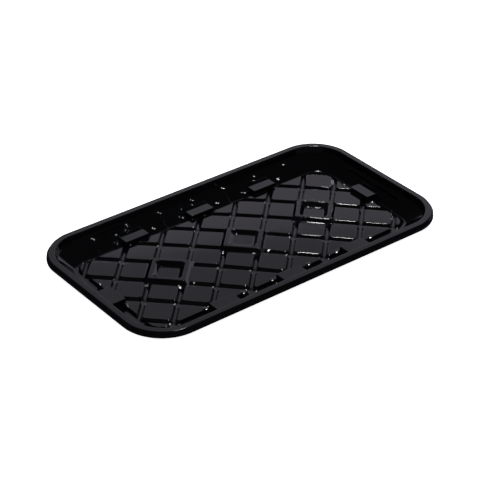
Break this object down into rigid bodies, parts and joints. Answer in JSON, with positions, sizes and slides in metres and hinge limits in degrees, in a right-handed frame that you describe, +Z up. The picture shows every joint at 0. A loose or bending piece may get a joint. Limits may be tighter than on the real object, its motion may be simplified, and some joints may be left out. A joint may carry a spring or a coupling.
{
  "type": "plastic meat tray",
  "caption": "Shallow rectangular formed plastic food tray with rounded corners, a skirted rim, a diagonal lattice of drainage channels, square bosses and wall lugs.",
  "frame": {"origin": "on the resting surface, under the middle of the tray", "axes": "+X along the tray's length, +Y across its width, +Z up, out of the open top"},
  "size_m": [0.3774, 0.208, 0.0208],
  "materials": {
    "black_plastic": "high gloss, black through the sheet"
  },
  "bodies": {
    "root": {"tray": "black_plastic"}
  },
  "joints": []
}
